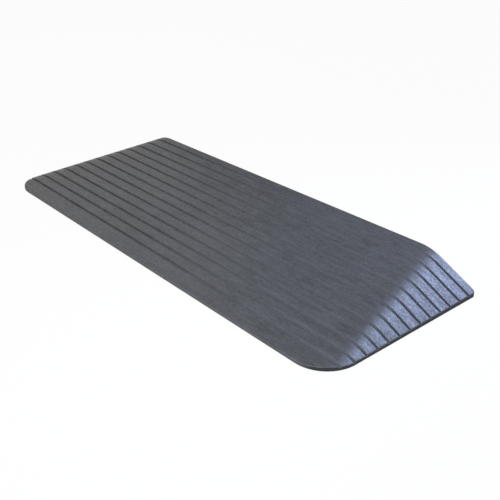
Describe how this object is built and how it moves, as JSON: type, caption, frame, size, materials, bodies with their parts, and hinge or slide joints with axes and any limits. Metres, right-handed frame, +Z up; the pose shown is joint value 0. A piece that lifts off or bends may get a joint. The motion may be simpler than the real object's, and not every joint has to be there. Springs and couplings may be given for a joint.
{
  "type": "threshold ramp",
  "caption": "Low moulded rubber wedge with bevelled ends and a grooved top, laid against a door threshold so that wheels can roll over it, with hold-down tape let into its flat underside.",
  "frame": {"origin": "middle of the flat underside, on the floor", "axes": "+X along the threshold, +Y from the thin toe to the tall threshold edge, +Z up"},
  "size_m": [1.07, 0.38, 0.06],
  "materials": {
    "rubber": "moulded, satin",
    "tape": "closed-cell foam",
    "liner": "waxed paper"
  },
  "bodies": {
    "root": {"ramp_body": "rubber", "front_left_tape": "tape", "front_centre_tape": "tape", "front_right_tape": "tape", "back_left_tape": "tape", "back_centre_tape": "tape", "back_right_tape": "tape", "front_left_liner": "liner", "front_centre_liner": "liner", "front_right_liner": "liner", "back_left_liner": "liner", "back_centre_liner": "liner", "back_right_liner": "liner"}
  },
  "joints": []
}
